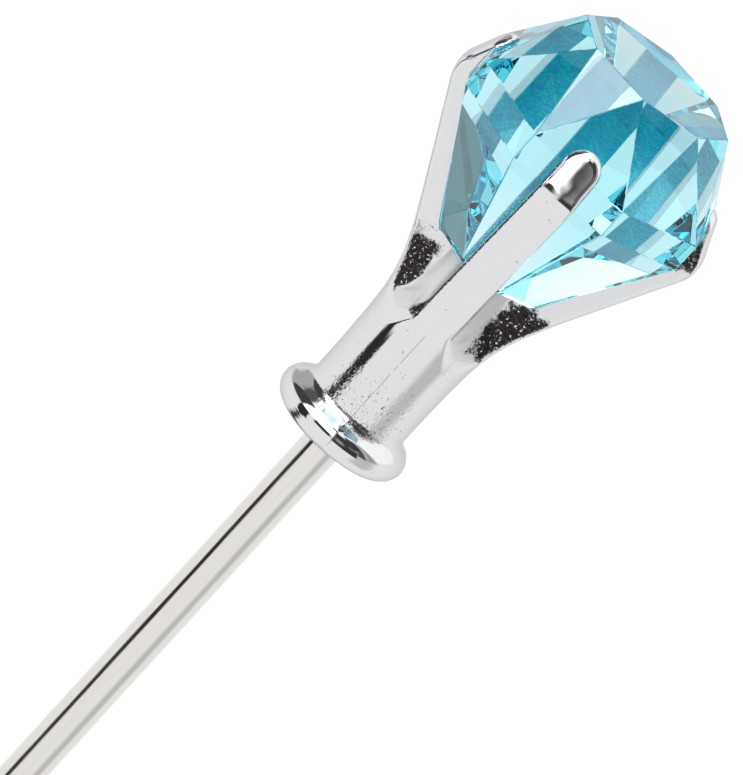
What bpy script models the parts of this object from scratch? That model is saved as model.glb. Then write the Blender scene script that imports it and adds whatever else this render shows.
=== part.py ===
"""Hat pin: a faceted crystal in a four-claw setting, on a steel pin with a sliding guard over its point.

The origin is on the pin's axis, in the plane of the shoulder that seats against the hat.
+Z runs along the pin towards the crystal, and the claws stand at +X, +Y, -X and -Y.
"""

import math

import bmesh
import bpy
from mathutils import Matrix

MM = 0.001

# Crystal. Radii are to the corners; the table is turned half a side against the girdle and base.
CRYSTAL_SIDES = 8
TABLE_RADIUS = 2.66 * MM
GIRDLE_RADIUS = 4.26 * MM
BASE_RADIUS = 1.94 * MM
BASE_CHAMFER = 0.14 * MM
CRYSTAL_BASE_Z = 6.86 * MM
PAVILION_TOP_Z = 10.81 * MM
CROWN_BOTTOM_Z = 11.73 * MM
TABLE_Z = 14.20 * MM
CRYSTAL_GAP = 0.03 * MM

# Stem and the bead at its foot.
STEM_RADIUS = 1.625 * MM
STEM_TAPER = 0.012
BEAD_RING_RADIUS = 1.70 * MM
BEAD_RADIUS = 0.49 * MM
BEAD_FILLET = 0.35 * MM

# Claws. Their backs flare out of the stem on one smooth curve, bend, and lean in over the crown.
CLAW_WIDTH = 1.20 * MM
FLARE_Z = 5.10 * MM
FLARE_SLOPE = 0.50
FLARE_SOFTNESS = 0.61 * MM
BEND_Z = 10.75 * MM
BEND_RADIUS = 0.95 * MM
FOLD_SLOPE = 0.42
CLAW_TIP_Z = 12.38 * MM

# Neck: between the claws the stem sweeps in to a slim pedestal under the crystal.
NECK_RADIUS = 1.15 * MM
NECK_FOOT_Z = 6.00 * MM
NECK_SWEEP_RADIUS = 1.65 * MM
NECK_SWEEP_LOW_Z = 4.45 * MM
NECK_TOP_Z = 7.00 * MM

# Steel pin, the bore that it sits in and the bond between them.
WIRE_RADIUS = 0.60 * MM
WIRE_TOP_Z = 4.85 * MM
WIRE_CHAMFER = 0.12 * MM
TAPER_TOP_Z = -69.5 * MM
POINT_Z = -76.0 * MM
POINT_RADIUS = 0.05 * MM
BORE_RADIUS = 0.70 * MM
BORE_TOP_Z = 5.15 * MM
BOND_GAP = 0.02 * MM

# Point guard: a drawn shell with a rolled mouth, and the soft grip inside it.
GUARD_MOUTH_Z = -65.0 * MM
GUARD_END_Z = -77.6 * MM
GUARD_RADIUS = 1.70 * MM
GUARD_WALL = 0.25 * MM
GUARD_MOUTH_RADIUS = 0.95 * MM
GUARD_DOME_LENGTH = 2.6 * MM
GROOVE_COUNT = 3
GROOVE_PITCH = 0.75 * MM
GROOVE_DEPTH = 0.09 * MM
GROOVE_WIDTH = 0.30 * MM
FIRST_GROOVE_Z = -66.6 * MM
GRIP_GAP = 0.03 * MM
GRIP_LENGTH = 6.0 * MM
GRIP_CHAMFER = 0.15 * MM
RUNNING_CLEARANCE = 0.02 * MM

TURN_STEPS = 64
FINE_TURN_STEPS = 36
WIRE_STEPS = 32
MERGE_DISTANCE = 0.000001
SHARP_ANGLE = math.radians(28)
OVERCUT = 0.5 * MM


# ---------------------------------------------------------------- outlines


def arc(centre, radius, start, end, steps):
    """Points on a circle in the radius-height plane, from one angle to another, in degrees."""
    angles = [math.radians(start + (end - start) * i / steps) for i in range(steps + 1)]
    return [(centre[0] + radius * math.cos(a), centre[1] + radius * math.sin(a)) for a in angles]


def crystal_rings(gap):
    """The crystal's corners, ring by ring, grown outwards by a gap."""
    half_turn = 0.5
    wide = gap / math.cos(math.pi / CRYSTAL_SIDES)
    return [
        (BASE_RADIUS - BASE_CHAMFER + wide, CRYSTAL_BASE_Z - gap, half_turn),
        (BASE_RADIUS + wide, CRYSTAL_BASE_Z - gap + BASE_CHAMFER, half_turn),
        (GIRDLE_RADIUS + wide, PAVILION_TOP_Z - gap / 2, half_turn),
        (GIRDLE_RADIUS + wide, CROWN_BOTTOM_Z + gap / 2, half_turn),
        (TABLE_RADIUS + wide, TABLE_Z + gap, 0.0),
    ]


def claw_back_radius(z):
    """Radius of the setting's outside at a height: the tapered stem, flaring smoothly into the claws."""
    flare = math.log1p(math.exp((z - FLARE_Z) / FLARE_SOFTNESS)) * FLARE_SOFTNESS
    return STEM_RADIUS + STEM_TAPER * z + FLARE_SLOPE * flare


def claw_bend():
    """Centre of the claw's bend and the slope, in degrees, of the back below it and of the fold above."""
    below = math.degrees(math.atan(STEM_TAPER + FLARE_SLOPE))
    above = math.degrees(math.atan(FOLD_SLOPE))
    corner_radius = claw_back_radius(BEND_Z)
    run = BEND_RADIUS * math.tan(math.radians(below + above) / 2)
    start_r = corner_radius - run * math.sin(math.radians(below))
    start_z = BEND_Z - run * math.cos(math.radians(below))
    centre_r = start_r - BEND_RADIUS * math.cos(math.radians(below))
    centre_z = start_z + BEND_RADIUS * math.sin(math.radians(below))
    return (centre_r, centre_z), below, above


def setting_outline():
    """The setting's outside, turned: claw tips, bend, flare, stem, bead and shoulder, top to bottom."""
    centre, below, above = claw_bend()
    bend = arc(centre, BEND_RADIUS, above, -below, 10)
    fold_top = CLAW_TIP_Z + OVERCUT
    fold_end = (bend[0][0] - FOLD_SLOPE * (fold_top - bend[0][1]), fold_top)

    reach = BEAD_FILLET + BEAD_RADIUS
    stem_at_bead = STEM_RADIUS + STEM_TAPER * (BEAD_RADIUS * 2)
    inward = stem_at_bead + BEAD_FILLET - BEAD_RING_RADIUS
    rise = math.sqrt(reach**2 - inward**2)
    touch = math.degrees(math.atan2(rise, inward))
    fillet_centre = (stem_at_bead + BEAD_FILLET, BEAD_RADIUS + rise)
    fillet = arc(fillet_centre, BEAD_FILLET, 180, 180 + touch, 5)
    bead = arc((BEAD_RING_RADIUS, BEAD_RADIUS), BEAD_RADIUS, touch, -90, 12)

    flare_stations = 14
    top = bend[-1][1]
    bottom = fillet[0][1]
    heights = [top + (bottom - top) * i / flare_stations for i in range(1, flare_stations)]
    flare = [(claw_back_radius(z), z) for z in heights]
    return [(0, fold_top), fold_end, *bend, *flare, *fillet, *bead[1:], (0, 0)]


def neck_outline():
    """Turned limit of the metal between the claws: the slim pedestal, sweeping out past the stem."""
    centre = (NECK_RADIUS + NECK_SWEEP_RADIUS, NECK_FOOT_Z)
    end = math.degrees(math.asin((NECK_FOOT_Z - NECK_SWEEP_LOW_Z) / NECK_SWEEP_RADIUS))
    sweep = arc(centre, NECK_SWEEP_RADIUS, 180, 180 + end, 8)
    wide = BEAD_RING_RADIUS + BEAD_RADIUS + OVERCUT
    return [
        (0, NECK_TOP_Z),
        (NECK_RADIUS, NECK_TOP_Z),
        *sweep,
        (wide, NECK_SWEEP_LOW_Z),
        (wide, -OVERCUT),
        (0, -OVERCUT),
    ]


def wire_outline():
    """The steel pin: a chamfered top, the full wire, a slightly bellied taper and a rounded point."""
    taper_steps = 8
    length = TAPER_TOP_Z - POINT_Z - POINT_RADIUS
    taper = []
    for i in range(1, taper_steps):
        down = i / taper_steps
        radius = WIRE_RADIUS + (POINT_RADIUS - WIRE_RADIUS) * down**1.35
        taper.append((radius, TAPER_TOP_Z - length * down))
    tip = arc((0, POINT_Z + POINT_RADIUS), POINT_RADIUS, 0, -90, 4)
    return [
        (0, WIRE_TOP_Z),
        (WIRE_RADIUS - WIRE_CHAMFER, WIRE_TOP_Z),
        (WIRE_RADIUS, WIRE_TOP_Z - WIRE_CHAMFER),
        (WIRE_RADIUS, TAPER_TOP_Z),
        *taper,
        *tip[:-1],
        (0, POINT_Z),
    ]


def bond_outline():
    """The bond: a thin sleeve round the wire, closed over the wire's top."""
    outer = BORE_RADIUS - BOND_GAP
    inner = WIRE_RADIUS + BOND_GAP
    return [
        (0, BORE_TOP_Z - BOND_GAP),
        (outer, BORE_TOP_Z - BOND_GAP),
        (outer, BOND_GAP),
        (inner, BOND_GAP),
        (inner, WIRE_TOP_Z + BOND_GAP),
        (0, WIRE_TOP_Z + BOND_GAP),
    ]


def guard_shell_outline():
    """The guard's shell: grooved outside and domed end, then back up the inside to the rolled mouth."""
    lip = GUARD_WALL / 2
    dome_top = GUARD_END_Z + GUARD_DOME_LENGTH
    stretch = GUARD_DOME_LENGTH / GUARD_RADIUS
    outside = arc((GUARD_RADIUS - lip * 2, GUARD_MOUTH_Z - lip * 2), lip * 2, 90, 0, 4)
    for n in range(GROOVE_COUNT):
        z = FIRST_GROOVE_Z - n * GROOVE_PITCH
        outside += [
            (GUARD_RADIUS, z),
            (GUARD_RADIUS - GROOVE_DEPTH, z - GROOVE_WIDTH / 3),
            (GUARD_RADIUS - GROOVE_DEPTH, z - GROOVE_WIDTH * 2 / 3),
            (GUARD_RADIUS, z - GROOVE_WIDTH),
        ]
    dome = [(r, dome_top + z * stretch) for r, z in arc((0, 0), GUARD_RADIUS, 0, -90, 12)]
    cavity = GUARD_RADIUS - GUARD_WALL
    inner = [(r, dome_top + z * stretch) for r, z in arc((0, 0), cavity, -90, 0, 10)]
    mouth = arc((GUARD_MOUTH_RADIUS + lip, GUARD_MOUTH_Z - lip), lip, 270, 90, 8)
    return [
        *outside,
        *dome[:-1],
        (0, GUARD_END_Z),
        (0, dome_top - cavity * stretch),
        *inner[1:],
        (cavity, GUARD_MOUTH_Z - GUARD_WALL),
        *mouth,
    ]


def grip_outline():
    """The soft grip: a plain sleeve with chamfered ends, running on the wire."""
    outer = GUARD_RADIUS - GUARD_WALL - GRIP_GAP
    inner = WIRE_RADIUS + RUNNING_CLEARANCE
    top = GUARD_MOUTH_Z - GUARD_WALL - GRIP_GAP
    bottom = top - GRIP_LENGTH
    return [
        (outer - GRIP_CHAMFER, top),
        (outer, top - GRIP_CHAMFER),
        (outer, bottom + GRIP_CHAMFER),
        (outer - GRIP_CHAMFER, bottom),
        (inner + GRIP_CHAMFER, bottom),
        (inner, bottom + GRIP_CHAMFER),
        (inner, top - GRIP_CHAMFER),
        (inner + GRIP_CHAMFER, top),
    ]


# ---------------------------------------------------------------- building tools


def clear_scene():
    for obj in list(bpy.data.objects):
        bpy.data.objects.remove(obj, do_unlink=True)


def new_collection(name):
    collection = bpy.data.collections.new(name)
    bpy.context.scene.collection.children.link(collection)
    return collection


def new_material(name, colour, roughness, metallic):
    material = bpy.data.materials.new(name)
    material.use_nodes = True
    shader = material.node_tree.nodes["Principled BSDF"]
    shader.inputs["Base Color"].default_value = (*colour, 1.0)
    shader.inputs["Roughness"].default_value = roughness
    shader.inputs["Metallic"].default_value = metallic
    return material


def add_object(name, mesh, collection):
    obj = bpy.data.objects.new(name, mesh)
    collection.objects.link(obj)
    return obj


def turned(name, outline, collection, steps):
    """Turn an outline about Z. The outline is a loop, and its stretches along the axis are left out."""
    count = len(outline)
    loop = [(i, (i + 1) % count) for i in range(count)]
    edges = [(a, b) for a, b in loop if outline[a][0] or outline[b][0]]
    mesh = bpy.data.meshes.new(name)
    mesh.from_pydata([(r, 0, z) for r, z in outline], edges, [])
    obj = add_object(name, mesh, collection)
    screw = obj.modifiers.new("turn", "SCREW")
    screw.axis = "Z"
    screw.steps = steps
    screw.render_steps = steps
    screw.use_merge_vertices = True
    screw.merge_threshold = MERGE_DISTANCE
    return obj


def faceted(name, rings, collection):
    """The convex solid through rings of corners, each ring given as radius, height and turn in sides."""
    bm = bmesh.new()
    for radius, z, turn in rings:
        for i in range(CRYSTAL_SIDES):
            angle = math.tau * (i + turn) / CRYSTAL_SIDES
            bm.verts.new((radius * math.cos(angle), radius * math.sin(angle), z))
    bmesh.ops.convex_hull(bm, input=bm.verts)
    bmesh.ops.dissolve_limit(bm, angle_limit=math.radians(0.5), verts=bm.verts, edges=bm.edges)
    bmesh.ops.recalc_face_normals(bm, faces=bm.faces)
    mesh = bpy.data.meshes.new(name)
    bm.to_mesh(mesh)
    bm.free()
    return add_object(name, mesh, collection)


def claw_bar(name, turn, collection):
    """A bar through the axis, as wide as a claw, with a round top: it bounds two opposite claws."""
    half = CLAW_WIDTH / 2
    reach = GIRDLE_RADIUS + 2 * OVERCUT
    outline = arc((0, CLAW_TIP_Z - half), half, 0, 180, 16)
    outline += [(-half, NECK_SWEEP_LOW_Z - OVERCUT), (half, NECK_SWEEP_LOW_Z - OVERCUT)]
    bm = bmesh.new()
    corners = [bm.verts.new((-reach, y, z)) for y, z in outline]
    face = bm.faces.new(corners)
    grown = bmesh.ops.extrude_face_region(bm, geom=[face])
    moved = [item for item in grown["geom"] if isinstance(item, bmesh.types.BMVert)]
    bmesh.ops.translate(bm, verts=moved, vec=(2 * reach, 0, 0))
    bmesh.ops.rotate(bm, verts=bm.verts, cent=(0, 0, 0), matrix=Matrix.Rotation(turn, 3, "Z"))
    bmesh.ops.recalc_face_normals(bm, faces=bm.faces)
    mesh = bpy.data.meshes.new(name)
    bm.to_mesh(mesh)
    bm.free()
    return add_object(name, mesh, collection)


def boolean(obj, operation, other):
    modifier = obj.modifiers.new(operation.lower(), "BOOLEAN")
    modifier.operation = operation
    modifier.solver = "EXACT"
    modifier.object = other
    other.hide_render = True
    other.display_type = "WIRE"


def shade(obj, material):
    """Keep the object's evaluated shape as its mesh, shaded smooth up to the sharp angle."""
    depsgraph = bpy.context.evaluated_depsgraph_get()
    mesh = bpy.data.meshes.new_from_object(obj.evaluated_get(depsgraph))
    obj.modifiers.clear()
    obj.data = mesh
    mesh.shade_smooth()
    mesh.set_sharp_from_angle(angle=SHARP_ANGLE)
    mesh.materials.clear()
    mesh.materials.append(material)


# ---------------------------------------------------------------- the pieces


def make_crystal(parts):
    crystal = faceted("crystal", crystal_rings(0), parts)
    crystal.data.materials.append(new_material("aqua_crystal", (0.24, 0.78, 0.86), 0.02, 0.0))


def make_claw_setting(parts, cutters):
    setting = turned("claw_setting", setting_outline(), parts, TURN_STEPS)
    limits = turned("claw_limits", neck_outline(), cutters, TURN_STEPS)
    for name, turn in (("claw_bar_x", 0.0), ("claw_bar_y", math.pi / 2)):
        boolean(limits, "UNION", claw_bar(name, turn, cutters))
    seat = faceted("crystal_seat", crystal_rings(CRYSTAL_GAP), cutters)
    bore_profile = [(0, BORE_TOP_Z), (BORE_RADIUS, BORE_TOP_Z), (BORE_RADIUS, -OVERCUT), (0, -OVERCUT)]
    bore = turned("shaft_bore", bore_profile, cutters, FINE_TURN_STEPS)
    boolean(setting, "INTERSECT", limits)
    boolean(setting, "DIFFERENCE", seat)
    boolean(setting, "DIFFERENCE", bore)
    shade(setting, new_material("plated_casting", (0.80, 0.81, 0.82), 0.08, 1.0))


def make_pin(parts):
    shaft = turned("pin_shaft", wire_outline(), parts, WIRE_STEPS)
    shade(shaft, new_material("drawn_steel", (0.66, 0.65, 0.63), 0.28, 1.0))
    bond = turned("shaft_bond", bond_outline(), parts, FINE_TURN_STEPS)
    shade(bond, new_material("bond", (0.58, 0.58, 0.57), 0.45, 0.6))


def make_point_guard(parts):
    shell = turned("guard_shell", guard_shell_outline(), parts, FINE_TURN_STEPS)
    shade(shell, new_material("plated_shell", (0.80, 0.81, 0.82), 0.12, 1.0))
    grip = turned("guard_grip", grip_outline(), parts, FINE_TURN_STEPS)
    shade(grip, new_material("silicone", (0.86, 0.86, 0.84), 0.55, 0.0))


def main():
    clear_scene()
    parts = new_collection("hat_pin")
    cutters = new_collection("hat_pin_cutters")
    make_crystal(parts)
    make_claw_setting(parts, cutters)
    make_pin(parts)
    make_point_guard(parts)


main()
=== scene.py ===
"""Looks for the hat pin: an aqua crystal in a plated four-claw casting, on a steel pin with a point guard.

Lengths are in millimetres, in the frame's own axes, until a mesh is made. +Z runs along the pin, towards
the crystal.
"""

import math

import bmesh
import bpy
import numpy as np
from mathutils import Matrix, Vector


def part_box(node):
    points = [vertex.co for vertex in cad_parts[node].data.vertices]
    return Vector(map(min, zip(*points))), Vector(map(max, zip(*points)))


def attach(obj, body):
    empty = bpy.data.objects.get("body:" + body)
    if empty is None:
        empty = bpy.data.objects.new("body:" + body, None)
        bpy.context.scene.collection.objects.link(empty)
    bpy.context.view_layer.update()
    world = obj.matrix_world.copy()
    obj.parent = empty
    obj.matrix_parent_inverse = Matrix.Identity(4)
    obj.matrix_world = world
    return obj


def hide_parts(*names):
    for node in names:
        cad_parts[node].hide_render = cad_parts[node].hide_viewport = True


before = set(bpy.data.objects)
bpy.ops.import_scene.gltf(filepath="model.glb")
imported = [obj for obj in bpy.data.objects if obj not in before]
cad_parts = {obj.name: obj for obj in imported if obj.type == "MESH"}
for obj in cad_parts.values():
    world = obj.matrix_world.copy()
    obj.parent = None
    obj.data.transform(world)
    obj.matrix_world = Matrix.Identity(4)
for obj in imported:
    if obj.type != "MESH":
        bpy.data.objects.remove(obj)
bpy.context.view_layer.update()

MM = 0.001

# Viewing angle, in degrees: how far the camera stands round the pin and above it, and how far it leans.
VIEW_TURN = 2.6
VIEW_TILT = 17.4
VIEW_ROLL = 42.4
# How tall the view is, how far right of its middle and above it the crystal's table is, and the long lens.
FRAME_HEIGHT = 21.71
TABLE_RIGHT = 8.02
TABLE_UP = 8.69
LENS = 800.0
SENSOR = 36.0

# Setting: the stem, the bead at its foot, and the claws that flare out of it, bend and lean over the crown.
STEM_RADIUS = 1.625
STEM_TAPER = 0.012
BEAD_RING_RADIUS = 1.70
BEAD_RADIUS = 0.49
BEAD_FILLET = 0.35
BEAD_ROOT_Z = 0.42
CLAW_WIDTH = 1.20
CLAW_TIP_Z = 12.38
FLARE_Z = 5.10
FLARE_SLOPE = 0.50
FLARE_SOFTNESS = 0.61
BEND_Z = 10.75
BEND_RADIUS = 0.95
FOLD_SLOPE = 0.42
NECK_RADIUS = 1.06
NECK_FOOT_Z = 6.68
NECK_SWEEP_RADIUS = 3.50
BORE_RADIUS = 0.70
BORE_TOP_Z = 5.15
SEAT_GAP = 0.03

# Roundings of the casting. The rim of the notches between the claws is soft low down and keen higher up.
CLAW_EDGE = 0.09
NOTCH_EDGE = 0.50
NOTCH_SOFT_WIDTH = 0.50
NOTCH_SOFT_Z = 5.0
NOTCH_KEEN_Z = 6.5
NOTCH_BLEND = 0.55
NOTCH_FOOT_BLEND = 0.30
TIP_EDGE = 0.22
TIP_EDGE_RUN = 0.6
SEAT_EDGE = 0.04
BORE_EDGE = 0.05
NET_STEP = 0.045

# Rough places of the casting. In the claws' roots they differ between the -X and the +X side: how high they
# reach, and how far from the axis they start.
ROOT_FOOT_Z = 4.6
ROOT_TOP_Z_LEFT = 6.45
ROOT_TOP_Z_RIGHT = 6.85
ROOT_START_LEFT = 1.12
ROOT_START_RIGHT = 0.95
ROOT_FULL = 1.40
# The notch's share is mostly painted shade: it darkens the notch's floor.
NOTCH_SHADE = 0.56
STEM_GRIT = 0.31
BEND_GRIT = 0.8
ROUGH_BEND_X = 4.2
ROUGH_BEND_Z = 11.2

# Waves of the casting's skin: heights and wavelengths.
RIPPLE_HEIGHT = 0.0022
RIPPLE_LENGTH = 1.3
TIP_RIPPLE_HEIGHT = 0.0014
TIP_RIPPLE_LENGTH = 0.42
GRIT_HEIGHT = 0.006
GRIT_LENGTH = 0.13
GRIT_EDGE_WOBBLE = 0.10
GRIT_EDGE_LENGTH = 0.45

# Steel pin and point guard.
WIRE_RADIUS = 0.60
WIRE_TOP_Z = 4.85
WIRE_CHAMFER = 0.12
TAPER_TOP_Z = -69.5
POINT_Z = -76.0
POINT_RADIUS = 0.05
GUARD_MOUTH_Z = -65.0
GUARD_END_Z = -77.6
GUARD_RADIUS = 1.70
GUARD_WALL = 0.25
GUARD_MOUTH_RADIUS = 0.95
GUARD_DOME_LENGTH = 2.6
GROOVE_COUNT = 3
GROOVE_PITCH = 0.75
GROOVE_DEPTH = 0.09
GROOVE_WIDTH = 0.30
FIRST_GROOVE_Z = -66.6
GRIP_GAP = 0.03
GRIP_LENGTH = 6.0
GRIP_BORE = 0.62
GRIP_CHAMFER = 0.15
TURN_STEPS = 128
SHARP_ANGLE = 40

CRYSTAL_BEVEL = 0.022
CRYSTAL_BEVEL_STEPS = 2
FLOOR_Z = -105.0
FLOOR_RADIUS = 3000.0


# ---------------------------------------------------------------- node graphs


class Graph:
    """A node tree, with one short call for each kind of node used here."""

    def __init__(self, tree):
        self.tree = tree
        tree.nodes.clear()

    def node(self, kind, *values, output=0, **settings):
        """Add a node. Values go to its inputs in order: a socket is linked, a number set, None skipped."""
        made = self.tree.nodes.new("ShaderNode" + kind)
        for name, value in settings.items():
            setattr(made, name, value)
        for socket, value in zip(made.inputs, values):
            self.set(socket, value)
        return made.outputs[output]

    def set(self, socket, value):
        if isinstance(value, bpy.types.NodeSocket):
            self.tree.links.new(value, socket)
        elif value is not None:
            socket.default_value = value

    def math(self, operation, *values):
        return self.node("Math", *values, operation=operation)

    def ramp(self, value, low, high, to_low=0.0, to_high=1.0):
        """Smoothly from one number to another as a value goes from low to high."""
        return self.node("MapRange", value, low, high, to_low, to_high, interpolation_type="SMOOTHSTEP")

    def window(self, value, low, high, soft):
        """1 between two numbers and 0 outside them, with soft ends."""
        rise = self.ramp(value, low - soft, low + soft)
        fall = self.ramp(value, high - soft, high + soft, 1.0, 0.0)
        return self.math("MULTIPLY", rise, fall)

    def mix(self, factor, first, second):
        """Blend two numbers."""
        made = self.tree.nodes.new("ShaderNodeMix")
        for socket, value in zip((made.inputs[0], made.inputs[2], made.inputs[3]), (factor, first, second)):
            self.set(socket, value)
        return made.outputs[0]

    def mix_colour(self, factor, first, second):
        made = self.tree.nodes.new("ShaderNodeMix")
        made.data_type = "RGBA"
        for socket, value in zip((made.inputs[0], made.inputs[6], made.inputs[7]), (factor, first, second)):
            self.set(socket, value)
        return made.outputs[2]

    def noise(self, point, scale, detail, roughness):
        return self.node("TexNoise", point, None, scale, detail, roughness)

    def scaled(self, point, *factors):
        return self.node("VectorMath", point, factors, operation="MULTIPLY")

    def share(self, name):
        """A number from 0 to 1 that the mesh carries at its vertices."""
        return self.node("Attribute", attribute_name=name, output=2)

    def axes(self, vector):
        made = self.tree.nodes.new("ShaderNodeSeparateXYZ")
        self.set(made.inputs[0], vector)
        return made.outputs[0], made.outputs[1], made.outputs[2]


def place(graph):
    """The point being shaded, in millimetres in the pin's frame."""
    point = graph.node("TexCoord", output=3)
    return graph.scaled(point, 1 / MM, 1 / MM, 1 / MM)


def principled(graph, **inputs):
    """A Principled shader wired to the material output, its inputs set by name."""
    shader = graph.tree.nodes.new("ShaderNodeBsdfPrincipled")
    for name, value in inputs.items():
        graph.set(shader.inputs[name.replace("_", " ").title().replace("Ior", "IOR")], value)
    output = graph.tree.nodes.new("ShaderNodeOutputMaterial")
    graph.tree.links.new(shader.outputs[0], output.inputs["Surface"])
    return output


def new_material(name):
    material = bpy.data.materials.new(name)
    material.use_nodes = True
    return material, Graph(material.node_tree)


# ---------------------------------------------------------------- studio


def view_directions():
    """Unit vectors from the pin to the camera, to the picture's right and to its top."""
    turn, tilt, roll = (math.radians(a) for a in (VIEW_TURN, VIEW_TILT, VIEW_ROLL))
    towards = Vector((-math.sin(turn) * math.cos(tilt), -math.cos(turn) * math.cos(tilt), math.sin(tilt)))
    level = Vector((math.cos(turn), -math.sin(turn), 0.0))
    upright = towards.cross(level)
    right = math.cos(roll) * level + math.sin(roll) * upright
    up = math.cos(roll) * upright - math.sin(roll) * level
    return towards, right, up


def make_camera():
    towards, right, up = view_directions()
    table = Vector((0, 0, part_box("crystal")[1][2]))
    target = table - right * TABLE_RIGHT * MM - up * TABLE_UP * MM
    distance = FRAME_HEIGHT * MM * LENS / SENSOR
    camera = bpy.data.cameras.new("camera")
    camera.lens = LENS
    camera.sensor_width = SENSOR
    camera.sensor_fit = "AUTO"
    camera.clip_start = 0.01
    holder = bpy.data.objects.new("camera", camera)
    turned_axes = Matrix((right, up, towards)).transposed()
    holder.matrix_world = Matrix.Translation(target + towards * distance) @ turned_axes.to_4x4()
    bpy.context.scene.collection.objects.link(holder)
    bpy.context.scene.camera = holder


# What the studio shows, by direction from the pin: each patch's azimuth from and to, elevation from and to,
# how soft its ends are, all in degrees, and its brightness. Azimuth 0 is where the camera stands, and it
# grows to the right. A later patch lies over the earlier ones.
STUDIO = (
    ("table behind", 160, 200, -91, -30, 12.0, 0.78),
    ("table behind", -200, -160, -91, -30, 12.0, 0.78),
    ("wall", 50, 84, -40, 30, 9.0, 0.64),
    ("ceiling", -181, 181, 28, 91, 3.0, 1.2),
    ("top light behind", -181, -60, 63, 91, 3.0, 2.0),
    ("top light", -66, 3, 19, 91, 3.0, 2.7),
    ("lamp in it", -64, -42, 42, 62, 5.0, 7.0),
    ("lamp's arm", -10, 9, 58, 71, 2.5, 0.3),
    ("left shade", -118, -66, 14, 60, 4.0, 0.06),
    ("left shade's end", -152, -116, 12, 46, 5.0, 0.5),
    ("dark beyond", -142, -106, 44, 64, 4.0, 0.11),
    ("left flag", -69, -45, -24, 15, 2.0, 0.03),
    ("flag's foot", -66, -53, -31, -20, 2.5, 0.03),
    ("cord", -77, -62, -46, -31, 2.5, 0.05),
    ("cord", -94, -74, -57, -45, 2.5, 0.05),
    ("cord", -150, -90, -61, -53, 2.5, 0.06),
    ("cord", -168, -147, -56, -47, 2.5, 0.06),
    ("camera", -33, 0, 3, 22, 3.0, 0.05),
    ("camera stand", 4, 52, -4, 58, 3.0, 0.05),
    ("stand's top", 30, 70, 38, 70, 4.0, 0.06),
    ("stand's side", 72, 92, 18, 70, 5.0, 0.42),
    ("stand's panel", 34, 52, 24, 34, 3.0, 0.2),
    ("stand's face", 9, 24, 14, 30, 5.0, 0.36),
    ("stand's edge", 52, 70, 16, 42, 4.0, 0.10),
)
STUDIO_LEVEL = 1.0


def light_studio():
    """Soft light from all round, with the few darker things that polished metal shows as lines."""
    scene = bpy.context.scene
    scene.view_settings.view_transform = "Standard"
    scene.cycles.max_bounces = 48
    scene.cycles.transmission_bounces = 48
    scene.cycles.glossy_bounces = 12
    world = bpy.data.worlds.new("studio")
    scene.world = world
    world.use_nodes = True
    graph = Graph(world.node_tree)
    towards, _, _ = view_directions()
    ahead = Vector((towards.x, towards.y, 0)).normalized()
    right = Vector((-ahead.y, ahead.x, 0))
    direction = graph.node("TexCoord")
    along = graph.node("VectorMath", direction, tuple(ahead), operation="DOT_PRODUCT", output=1)
    across = graph.node("VectorMath", direction, tuple(right), operation="DOT_PRODUCT", output=1)
    azimuth = graph.math("DEGREES", graph.math("ARCTAN2", across, along))
    elevation = graph.math("DEGREES", graph.math("ARCSINE", graph.axes(direction)[2]))
    level = STUDIO_LEVEL
    for _, west, east, low, high, soft, brightness in STUDIO:
        sideways = graph.window(azimuth, west, east, soft)
        upright = graph.window(elevation, low, high, soft)
        level = graph.mix(graph.math("MULTIPLY", sideways, upright), level, brightness)
    ray = graph.tree.nodes.new("ShaderNodeLightPath")
    background = graph.node("Background", (1, 1, 1, 1), graph.mix(ray.outputs["Is Camera Ray"], level, 1.0))
    output = world.node_tree.nodes.new("ShaderNodeOutputWorld")
    world.node_tree.links.new(background, output.inputs["Surface"])


def make_floor():
    mesh = bpy.data.meshes.new("floor")
    bm = bmesh.new()
    bmesh.ops.create_circle(bm, cap_ends=True, segments=96, radius=FLOOR_RADIUS * MM)
    bm.to_mesh(mesh)
    bm.free()
    floor = bpy.data.objects.new("floor", mesh)
    floor.location.z = FLOOR_Z * MM
    floor.visible_glossy = False
    floor.visible_transmission = False
    material, graph = new_material("floor")
    principled(graph, base_color=(0.93, 0.93, 0.93, 1), roughness=0.9)
    mesh.materials.append(material)
    bpy.context.scene.collection.objects.link(floor)


# ---------------------------------------------------------------- solids as distances
# A solid is a function that is negative inside it. Below, each works on whole arrays of points.


def smoothstep(value, low, high):
    t = np.clip((value - low) / (high - low), 0, 1)
    return t * t * (3 - 2 * t)


def meet(first, second, radius):
    """Where two solids overlap, with the edge between them rounded."""
    corner = np.hypot(np.maximum(first + radius, 0), np.maximum(second + radius, 0))
    return np.minimum(np.maximum(first, second), -radius) + corner


def join(first, second, radius):
    """Two solids together, with a fillet between them."""
    return -meet(-first, -second, radius)


def claw_back_radius(z):
    """Radius of the setting's outside: the tapered stem, flaring smoothly into the claws."""
    flare = np.logaddexp(0, (z - FLARE_Z) / FLARE_SOFTNESS) * FLARE_SOFTNESS
    return STEM_RADIUS + STEM_TAPER * z + FLARE_SLOPE * flare


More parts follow.
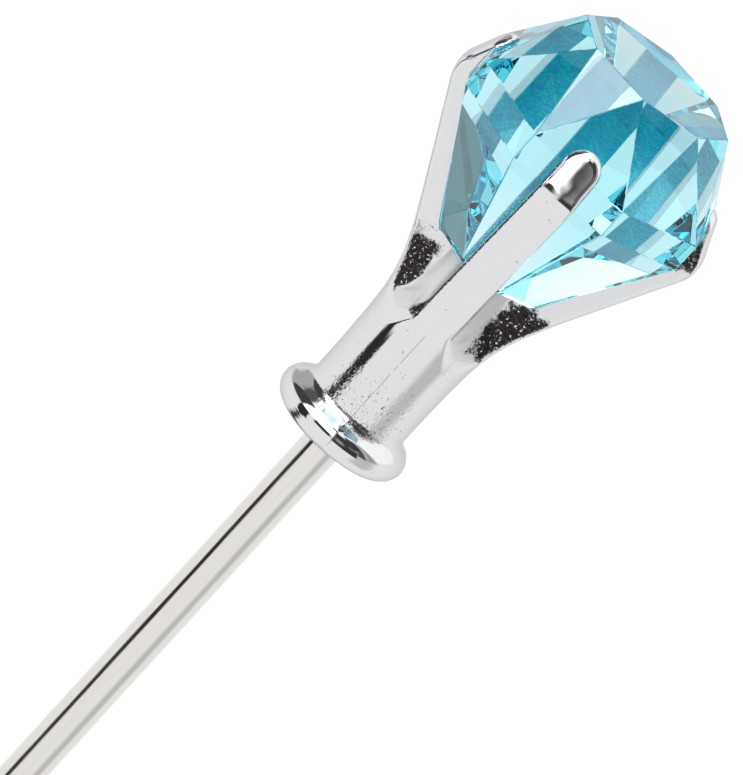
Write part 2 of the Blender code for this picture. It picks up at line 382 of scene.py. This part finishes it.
def outside(r, z):
    """The turned outside of stem and claws, with its bend and the fold that leans in."""
    slope = STEM_TAPER + FLARE_SLOPE / (1 + np.exp((FLARE_Z - z) / FLARE_SOFTNESS))
    back = (r - claw_back_radius(z)) / np.sqrt(1 + slope**2)
    corner = float(claw_back_radius(BEND_Z))
    fold = (r - corner + FOLD_SLOPE * (z - BEND_Z)) / math.hypot(1, FOLD_SLOPE)
    below = math.atan(STEM_TAPER + FLARE_SLOPE)
    above = math.atan(FOLD_SLOPE)
    run = BEND_RADIUS * math.tan((below + above) / 2)
    centre_r = corner - run * math.sin(below) - BEND_RADIUS * math.cos(below)
    centre_z = BEND_Z - run * math.cos(below) + BEND_RADIUS * math.sin(below)
    angle = np.arctan2(z - centre_z, r - centre_r)
    bend = np.hypot(r - centre_r, z - centre_z) - BEND_RADIUS
    return np.where((angle > -below) & (angle < above), bend, np.maximum(back, fold))


def crystal_facets():
    """Normals and distances of the crystal's facets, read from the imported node."""
    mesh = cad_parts["crystal"].data
    facets = {}
    for polygon in mesh.polygons:
        distance = polygon.normal.dot(mesh.vertices[polygon.vertices[0]].co) / MM
        key = tuple(round(v, 2) for v in polygon.normal)
        facets.setdefault(key, (*polygon.normal, distance))
    return list(facets.values())


def casting(x, y, z):
    """The setting: bead, stem, neck and four claws, with the crystal's seat and the pin's bore cut out."""
    r = np.hypot(x, y)
    rise = np.maximum(z - (CLAW_TIP_Z - CLAW_WIDTH / 2), 0)
    bars = join(np.hypot(x, rise) - CLAW_WIDTH / 2, np.hypot(y, rise) - CLAW_WIDTH / 2, NOTCH_BLEND)
    sweep = NECK_SWEEP_RADIUS - np.hypot(r - NECK_RADIUS - NECK_SWEEP_RADIUS, z - NECK_FOOT_Z)
    neck = np.where(z > NECK_FOOT_Z, r - NECK_RADIUS, sweep)
    softer = smoothstep(bars, 0.0, NOTCH_SOFT_WIDTH) * smoothstep(z, NOTCH_KEEN_Z, NOTCH_SOFT_Z)
    tips = smoothstep(z, BEND_Z, BEND_Z + TIP_EDGE_RUN)
    edge = CLAW_EDGE + (NOTCH_EDGE - CLAW_EDGE) * softer + (TIP_EDGE - CLAW_EDGE) * tips
    solid = meet(outside(r, z), join(neck, bars, NOTCH_FOOT_BLEND), edge)
    solid = np.maximum(solid, BEAD_ROOT_Z - z)
    bead = np.hypot(np.maximum(r - BEAD_RING_RADIUS, 0), z - BEAD_RADIUS) - BEAD_RADIUS
    solid = join(solid, bead, BEAD_FILLET)
    seat = -SEAT_GAP + np.max([nx * x + ny * y + nz * z - d for nx, ny, nz, d in crystal_facets()], axis=0)
    solid = meet(solid, -seat, SEAT_EDGE)
    bore = np.maximum(r - BORE_RADIUS, z - BORE_TOP_Z)
    return meet(solid, -bore, BORE_EDGE)


def claw_walls(x, y, z):
    """1 on the flat sides of the claws, 0 elsewhere."""
    across = np.minimum(np.abs(x), np.abs(y))
    near_wall = smoothstep(np.abs(across - CLAW_WIDTH / 2), 0.22, 0.10)
    return near_wall * smoothstep(outside(np.hypot(x, y), z), -0.02, -0.12)


def waves(x, y, z, length, seed):
    """Even, unordered bumps of about one wavelength, between roughly -1 and 1."""
    rng = np.random.default_rng(seed)
    total = 0
    count = 20
    for _ in range(count):
        way = rng.normal(size=3)
        way *= math.tau / length * rng.uniform(0.75, 1.35) / np.linalg.norm(way)
        total = total + np.cos(way[0] * x + way[1] * y + way[2] * z + rng.uniform(0, math.tau))
    return total / math.sqrt(count)


def grit_and_shade(x, y, z):
    """How rough the plated skin is, from 0 to 1: highest in the claws' roots, where no wheel reaches. The
    same mask carries painted shade: the notch by the front claw is darkened as painted shade, and the -X wall
    of that claw's root is partly rough skin and partly painted shade.
    """
    wobble = GRIT_EDGE_WOBBLE * waves(x, y, z, GRIT_EDGE_LENGTH, 3)
    top = np.where(x > 0, ROOT_TOP_Z_RIGHT, ROOT_TOP_Z_LEFT)
    start = np.where(x > 0, ROOT_START_RIGHT, ROOT_START_LEFT)
    height = smoothstep(z + wobble, ROOT_FOOT_Z, ROOT_FOOT_Z + 0.15)
    height = height * smoothstep(z + wobble, top + 0.3, top - 0.3)
    roots = height * smoothstep(np.abs(x) + wobble, start, ROOT_FULL) * claw_walls(x, y, z)
    # The notch between the front claw, at -Y, and the one at +X: painted shade, darkening the notch's floor.
    notch = height * smoothstep(x, 0.85, 1.30) * smoothstep(-y, 0.52, 0.64)
    # Low on the front of the stem.
    from_front = np.abs(np.arctan2(x, -y) - 0.1)
    stem = smoothstep(z, 3.9, 1.4) * smoothstep(z, 0.85, 1.2) * smoothstep(from_front, 1.3, 0.5)
    # The sides of the +X claw's bend.
    from_bend = np.hypot(z - ROUGH_BEND_Z, x - ROUGH_BEND_X)
    bend = smoothstep(from_bend + wobble, 0.75, 0.45) * claw_walls(x, y, z)
    # The -X side of the front claw's root, along its outer edge: partly rough skin, partly painted shade on a
    # wall that lies in shade.
    wall = smoothstep(x, -0.54, -0.58) * smoothstep(y, -1.2, -1.5) * smoothstep(z, 4.5, 4.9)
    wall = wall * smoothstep(outside(np.hypot(x, y), z), -0.45, -0.30)
    places = [roots, NOTCH_SHADE * notch, STEM_GRIT * stem, BEND_GRIT * bend, wall]
    return np.clip(np.maximum.reduce(places), 0, 1)


def skin(x, y, z):
    """The casting as finished: wavy all over, more so on the claws' tips, and bumpy where it is rough."""
    tips = smoothstep(z, 10.2, 10.8)
    ripple = RIPPLE_HEIGHT * waves(x, y, z, RIPPLE_LENGTH, 7)
    ripple = ripple + TIP_RIPPLE_HEIGHT * tips * waves(x, y, z, TIP_RIPPLE_LENGTH, 9)
    bumps = GRIT_HEIGHT * grit_and_shade(x, y, z) ** 2 * waves(x, y, z, GRIT_LENGTH, 5)
    return casting(x, y, z) + ripple + bumps


def satin_share(x, y, z):
    """1 in the notches between the claws, less on the claws' sides, 0 where the polishing wheel reaches."""
    on_sides = 0.3
    depth = smoothstep(outside(np.hypot(x, y), z), -0.03, -0.2) * smoothstep(z, 4.1, 4.6)
    valley = smoothstep(np.minimum(np.abs(x), np.abs(y)), CLAW_WIDTH / 2, CLAW_WIDTH / 2 + 0.06)
    return depth * (on_sides + (1 - on_sides) * valley)


def seat_share(x, y, z):
    """1 on the faces that hold the crystal, 0 elsewhere."""
    facets = [nx * x + ny * y + nz * z - d for nx, ny, nz, d in crystal_facets()]
    return smoothstep(np.max(facets, axis=0), SEAT_GAP + 0.03, SEAT_GAP + 0.012)


# ---------------------------------------------------------------- meshing


def surface_net(solid, low, high, step):
    """Vertices and quads of a solid's surface: one vertex in each cell of a grid that the surface crosses."""
    axes = [np.arange(a, b + step, step, dtype=np.float32) for a, b in zip(low, high)]
    value = solid(*np.meshgrid(*axes, indexing="ij"))
    inside = value < 0
    corners = [(i, j, k) for i in (0, 1) for j in (0, 1) for k in (0, 1)]
    size = [n - 1 for n in value.shape]
    count = np.zeros(size, np.int8)
    for i, j, k in corners:
        count += inside[i : size[0] + i, j : size[1] + j, k : size[2] + k]
    cells = np.argwhere((count > 0) & (count < 8))
    number = np.full(size, -1, np.int32)
    number[tuple(cells.T)] = np.arange(len(cells))

    total = np.zeros((len(cells), 3))
    crossings = np.zeros(len(cells))
    for start in corners:
        for axis in range(3):
            if start[axis]:
                continue
            end = tuple(1 if n == axis else start[n] for n in range(3))
            first = value[tuple((cells + start).T)]
            second = value[tuple((cells + end).T)]
            crossed = (first < 0) != (second < 0)
            share = np.where(crossed, first / np.where(crossed, first - second, 1), 0)
            point = cells + np.array(start) + share[:, None] * np.eye(3)[axis]
            total += point * crossed[:, None]
            crossings += crossed
    vertices = total / crossings[:, None] * step + np.array([a[0] for a in axes])

    quads = []
    for axis in range(3):
        u, v = (axis + 1) % 3, (axis + 2) % 3
        here = np.moveaxis(inside, (axis, u, v), (0, 1, 2))
        index = np.moveaxis(number, (axis, u, v), (0, 1, 2))
        crossed = here[:-1, 1:-1, 1:-1] != here[1:, 1:-1, 1:-1]
        i, j, k = np.nonzero(crossed)
        ring = [index[i, j, k], index[i, j + 1, k], index[i, j + 1, k + 1], index[i, j, k + 1]]
        ring = np.stack(ring, axis=1)
        leaving = here[i, j + 1, k + 1]
        quads.append(np.where(leaving[:, None], ring, ring[:, ::-1]))
    return vertices, np.concatenate(quads)


def gradient(solid, points):
    reach = 0.003
    slopes = []
    for axis in range(3):
        step = np.zeros(3)
        step[axis] = reach
        slopes.append((solid(*(points + step).T) - solid(*(points - step).T)) / (2 * reach))
    return np.stack(slopes, axis=1)


def settle(solid, points):
    """Bring points onto the surface along its slope, and give the surface's normals there."""
    rounds = 3
    longest_step = 0.05
    least_steepness = 0.2
    for _ in range(rounds):
        slope = gradient(solid, points)
        steepness = np.maximum((slope**2).sum(axis=1), least_steepness)
        step = np.clip(solid(*points.T) / steepness, -longest_step, longest_step)
        points = points - step[:, None] * slope
    slope = gradient(solid, points)
    return points, slope / np.linalg.norm(slope, axis=1)[:, None]


def add_piece(name, mesh, material, body, slot, *nodes):
    """Show a mesh in place of CAD nodes, riding on their body."""
    piece = bpy.data.objects.new(name, mesh)
    bpy.context.scene.collection.objects.link(piece)
    mesh.materials.clear()
    mesh.materials.append(material)
    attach(piece, body)
    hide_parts(*nodes)


def arc(centre, radius, start, end, steps):
    """Points on a circle in the radius-height plane, from one angle to another, in degrees."""
    angles = [math.radians(start + (end - start) * i / steps) for i in range(steps + 1)]
    return [(centre[0] + radius * math.cos(a), centre[1] + radius * math.sin(a)) for a in angles]


def turned(name, outline):
    """A mesh from an outline turned about Z. The outline is a loop that runs down the piece's outside."""
    points = []
    rings = []
    for r, z in outline:
        first = len(points)
        steps = TURN_STEPS if r else 1
        angles = [math.tau * i / steps for i in range(steps)]
        points.extend((r * math.cos(a) * MM, r * math.sin(a) * MM, z * MM) for a in angles)
        rings.append([first + i % steps for i in range(TURN_STEPS + 1)])
    faces = []
    for ring, following in zip(rings, rings[1:] + rings[:1]):
        for i in range(TURN_STEPS):
            # A ring on the axis is one point: a face that touches it has three corners, and one along it two.
            corners = dict.fromkeys((following[i], following[i + 1], ring[i + 1], ring[i]))
            if len(corners) > 2:
                faces.append(list(corners))
    mesh = bpy.data.meshes.new(name)
    mesh.from_pydata(points, [], faces)
    mesh.shade_smooth()
    mesh.set_sharp_from_angle(angle=math.radians(SHARP_ANGLE))
    return mesh


# ---------------------------------------------------------------- materials


def parting_line(graph, point):
    """1 along the mould's parting line, down the front of the stem and across the bead, with gaps in it."""
    x, y, z = graph.axes(point)
    beside = graph.window(x, -0.006, 0.010, 0.006)
    height = graph.window(z, 0.35, 4.55, 0.08)
    front = graph.math("MULTIPLY", graph.math("MULTIPLY", beside, height), graph.ramp(y, -1.0, -1.2))
    gaps = graph.ramp(graph.noise(point, 3.4, 2.0, 0.5), 0.33, 0.42)
    return graph.math("MULTIPLY", front, gaps)


def plate_colour(graph, point, rough_and_shaded):
    """Nearly even where the plate was polished, dark with bright grains where it is rough, and darkened as
    painted shade in the notch and on the front claw's wall.
    """
    fine = graph.noise(point, 13.0, 4.0, 0.7)
    coarse = graph.noise(point, 3.0, 3.0, 0.6)
    # Dark grains: few where the skin is a little rough, merging into one patch where it is very rough. In the
    # notch and on the front claw's wall the same darkening is painted shade.
    amount = graph.math("MULTIPLY_ADD", rough_and_shaded, 0.35, graph.math("MULTIPLY", coarse, 0.08))
    grains = graph.ramp(graph.math("ADD", fine, amount), 0.73, 0.78)
    pits = graph.ramp(graph.noise(point, 5.5, 4.0, 0.6), 0.70, 0.73, 0.0, 0.45)
    seam = graph.math("MULTIPLY", parting_line(graph, point), 0.7)
    marks = graph.math("MAXIMUM", graph.math("MAXIMUM", grains, pits), seam)
    colour = graph.mix_colour(coarse, (0.735, 0.738, 0.750, 1), (0.765, 0.767, 0.777, 1))
    # Dark skin where the mask is high: as-cast skin in the claws' roots, painted shade in the notch and on
    # the front claw's wall.
    colour = graph.mix_colour(graph.ramp(rough_and_shaded, 0.33, 0.75, 0.0, 0.8), colour, (0.10, 0.095, 0.095, 1))
    colour = graph.mix_colour(marks, colour, (0.035, 0.03, 0.03, 1))
    # Bright grains that catch the light inside the rough patches.
    glints = graph.ramp(graph.noise(point, 10.0, 2.0, 0.6), 0.60, 0.66)
    glints = graph.math("MULTIPLY", glints, graph.ramp(rough_and_shaded, 0.45, 0.8))
    return graph.mix_colour(glints, colour, (0.80, 0.79, 0.79, 1))


def seat_painted_shade(graph, point):
    """Teal painted on the faces that hold the crystal, as painted shade and tint standing in for the shaded
    claw faces seen through it: streaks across the claws, and paler specks.
    """
    streaks = graph.noise(graph.scaled(point, 6, 6, 24), 1.0, 3.0, 0.6)
    teal = graph.mix_colour(graph.ramp(streaks, 0.38, 0.66), (0.0, 0.54, 0.80, 1), (0.0, 0.88, 1.0, 1))
    specks = graph.ramp(graph.noise(point, 13.0, 2.0, 0.6), 0.58, 0.70, 0.0, 0.3)
    return graph.mix_colour(specks, teal, (0.30, 0.95, 1.0, 1))


def plated_casting():
    """Bright plating. The mesh says where it is rough or has painted shade, where it is satin, and where it
    lies under the crystal, which gets a glossy coat over painted teal shade.
    """
    material, graph = new_material("plated_casting")
    point = place(graph)
    rough_and_shaded = graph.share("grit_and_shade")
    seat = graph.share("seat")
    satin = graph.share("satin")
    # Under the crystal the colour is painted teal shade, standing in for the shaded claw faces seen through
    # the stone.
    colour = graph.mix_colour(seat, plate_colour(graph, point, rough_and_shaded), seat_painted_shade(graph, point))
    polish = graph.ramp(rough_and_shaded, 0.0, 1.0, 0.05, 0.16)
    roughness = graph.math("MAXIMUM", polish, graph.math("MULTIPLY", satin, 0.42))
    roughness = graph.math("MAXIMUM", roughness, graph.math("MULTIPLY", seat, 0.5))
    uneven = graph.math("MAXIMUM", rough_and_shaded, graph.math("MULTIPLY", seat, 0.35))
    relief = graph.math("MULTIPLY", graph.noise(point, 8.0, 3.0, 0.6), uneven)
    bump = graph.node("Bump", 1.0, 0.05 * MM, None, relief)
    principled(
        graph,
        base_color=colour,
        metallic=graph.math("MULTIPLY_ADD", satin, -0.45, graph.math("SUBTRACT", 1.0, seat)),
        roughness=roughness,
        specular_tint=(0.72, 0.72, 0.74, 1),
        specular_ior_level=0.0,
        coat_weight=seat,
        coat_roughness=0.12,
        coat_ior=1.8,
        coat_normal=bump,
        normal=bump,
    )
    return material


def drawn_steel():
    """Drawn wire, with faint lines along it."""
    material, graph = new_material("drawn_steel")
    point = place(graph)
    lines = graph.noise(graph.scaled(point, 14.0, 14.0, 0.35), 1.0, 3.0, 0.6)
    colour = graph.mix_colour(lines, (0.72, 0.70, 0.675, 1), (0.82, 0.80, 0.775, 1))
    roughness = graph.ramp(lines, 0.3, 0.7, 0.10, 0.17)
    bump = graph.node("Bump", 0.12, 0.01 * MM, None, lines)
    principled(graph, base_color=colour, metallic=1.0, roughness=roughness, normal=bump)
    return material


def aqua_crystal():
    """Clear glass with the colour in its depth, and a trace of polishing haze."""
    material, graph = new_material("aqua_crystal")
    haze = graph.noise(place(graph), 4.0, 3.0, 0.6)
    roughness = graph.ramp(haze, 0.4, 0.8, 0.0, 0.012)
    clear = (1, 1, 1, 1)
    output = principled(graph, base_color=clear, roughness=roughness, ior=1.60, transmission_weight=1.0)
    volume = graph.node("VolumeAbsorption", (0.03, 0.84, 0.93, 1), 100.0)
    graph.tree.links.new(volume, output.inputs["Volume"])
    return material


def plated_shell():
    """Plated sheet, with faint lines round it."""
    material, graph = new_material("plated_shell")
    point = place(graph)
    lines = graph.noise(graph.scaled(point, 0.4, 0.4, 12.0), 1.0, 4.0, 0.6)
    colour = graph.mix_colour(lines, (0.70, 0.70, 0.71, 1), (0.78, 0.78, 0.79, 1))
    roughness = graph.ramp(lines, 0.3, 0.7, 0.08, 0.16)
    bump = graph.node("Bump", 0.15, 0.01 * MM, None, lines)
    principled(graph, base_color=colour, metallic=1.0, roughness=roughness, normal=bump)
    return material


def silicone():
    material, graph = new_material("silicone")
    cloud = graph.noise(place(graph), 2.5, 4.0, 0.6)
    colour = graph.mix_colour(cloud, (0.80, 0.80, 0.77, 1), (0.88, 0.88, 0.86, 1))
    bump = graph.node("Bump", 0.2, 0.02 * MM, None, cloud)
    principled(graph, base_color=colour, roughness=0.5, normal=bump, subsurface_weight=0.2)
    return material


def bond():
    material, graph = new_material("bond")
    cloud = graph.noise(place(graph), 6.0, 4.0, 0.6)
    colour = graph.mix_colour(cloud, (0.45, 0.45, 0.44, 1), (0.62, 0.62, 0.61, 1))
    bump = graph.node("Bump", 0.3, 0.02 * MM, None, cloud)
    principled(graph, base_color=colour, metallic=0.8, roughness=0.42, normal=bump)
    return material


# ---------------------------------------------------------------- pieces


def make_setting():
    reach = 4.65
    margin = 0.1
    low = (-reach, -reach, -margin)
    high = (reach, reach, CLAW_TIP_Z + margin)
    points, quads = surface_net(casting, low, high, NET_STEP)
    points, normals = settle(skin, points)
    mesh = bpy.data.meshes.new("setting")
    mesh.from_pydata(points * MM, [], quads)
    mesh.shade_smooth()
    mesh.normals_split_custom_set_from_vertices(normals)
    for name, share in (("grit_and_shade", grit_and_shade), ("seat", seat_share), ("satin", satin_share)):
        mesh.attributes.new(name, "FLOAT", "POINT").data.foreach_set("value", share(*points.T))
    add_piece("setting", mesh, plated_casting(), "root", "plated_casting", "claw_setting")


def make_crystal():
    """The cut stone, its edges very slightly eased as polishing leaves them."""
    bm = bmesh.new()
    bm.from_mesh(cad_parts["crystal"].data)
    bmesh.ops.remove_doubles(bm, verts=bm.verts, dist=0.001 * MM)
    bmesh.ops.dissolve_limit(bm, angle_limit=math.radians(0.5), verts=bm.verts, edges=bm.edges)
    bmesh.ops.bevel(
        bm,
        geom=bm.edges[:],
        offset=CRYSTAL_BEVEL * MM,
        segments=CRYSTAL_BEVEL_STEPS,
        profile=0.5,
        affect="EDGES",
        clamp_overlap=True,
    )
    mesh = bpy.data.meshes.new("crystal_stone")
    bm.to_mesh(mesh)
    bm.free()
    mesh.shade_flat()
    add_piece("crystal_stone", mesh, aqua_crystal(), "root", "crystal", "crystal")


def make_shaft():
    """The steel pin: a chamfered top, the full wire, a slightly bellied taper and a rounded point."""
    taper_steps = 16
    length = TAPER_TOP_Z - POINT_Z - POINT_RADIUS
    taper = []
    for i in range(1, taper_steps):
        down = i / taper_steps
        taper.append((WIRE_RADIUS + (POINT_RADIUS - WIRE_RADIUS) * down**1.35, TAPER_TOP_Z - length * down))
    tip = arc((0, POINT_Z + POINT_RADIUS), POINT_RADIUS, 0, -90, 6)
    outline = [
        (0, WIRE_TOP_Z),
        (WIRE_RADIUS - WIRE_CHAMFER, WIRE_TOP_Z),
        (WIRE_RADIUS, WIRE_TOP_Z - WIRE_CHAMFER),
        (WIRE_RADIUS, TAPER_TOP_Z),
        *taper,
        *tip[:-1],
        (0, POINT_Z),
    ]
    mesh = turned("pin", outline)
    add_piece("pin", mesh, drawn_steel(), "root", "drawn_steel", "pin_shaft")


def make_guard():
    """The point guard: a grooved shell with a domed end and a rolled mouth, and the soft grip inside it."""
    lip = GUARD_WALL / 2
    dome_top = GUARD_END_Z + GUARD_DOME_LENGTH
    stretch = GUARD_DOME_LENGTH / GUARD_RADIUS
    cavity = GUARD_RADIUS - GUARD_WALL
    outer = arc((GUARD_RADIUS - GUARD_WALL, GUARD_MOUTH_Z - GUARD_WALL), GUARD_WALL, 90, 0, 8)
    groove_steps = 8
    for n in range(GROOVE_COUNT):
        for i in range(groove_steps + 1):
            share = i / groove_steps
            depth = GROOVE_DEPTH * math.sin(math.pi * share) ** 2
            outer.append((GUARD_RADIUS - depth, FIRST_GROOVE_Z - n * GROOVE_PITCH - GROOVE_WIDTH * share))
    dome = [(r, dome_top + z * stretch) for r, z in arc((0, 0), GUARD_RADIUS, 0, -90, 24)]
    inner = [(r, dome_top + z * stretch) for r, z in arc((0, 0), cavity, -90, 0, 16)]
    mouth = arc((GUARD_MOUTH_RADIUS + lip, GUARD_MOUTH_Z - lip), lip, 270, 90, 12)
    outline = [
        *outer,
        *dome[:-1],
        (0, GUARD_END_Z),
        (0, dome_top - cavity * stretch),
        *inner[1:],
        (cavity, GUARD_MOUTH_Z - GUARD_WALL),
        *mouth,
    ]
    cap = turned("point_cap", outline)
    add_piece("point_cap", cap, plated_shell(), "guard", "plated_shell", "guard_shell")

    grip_radius = cavity - GRIP_GAP
    top = GUARD_MOUTH_Z - GUARD_WALL - GRIP_GAP
    bottom = top - GRIP_LENGTH
    outline = [
        *arc((grip_radius - GRIP_CHAMFER, top - GRIP_CHAMFER), GRIP_CHAMFER, 90, 0, 5),
        *arc((grip_radius - GRIP_CHAMFER, bottom + GRIP_CHAMFER), GRIP_CHAMFER, 0, -90, 5),
        *arc((GRIP_BORE + GRIP_CHAMFER, bottom + GRIP_CHAMFER), GRIP_CHAMFER, -90, -180, 5),
        *arc((GRIP_BORE + GRIP_CHAMFER, top - GRIP_CHAMFER), GRIP_CHAMFER, 180, 90, 5),
    ]
    grip = turned("point_grip", outline)
    add_piece("point_grip", grip, silicone(), "guard", "silicone", "guard_grip")


def finish_bond():
    """The bond keeps its CAD shape and takes its own material."""
    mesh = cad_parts["shaft_bond"].data
    mesh.materials.clear()
    mesh.materials.append(bond())


make_camera()
light_studio()
make_floor()
make_setting()
make_crystal()
make_shaft()
make_guard()
finish_bond()
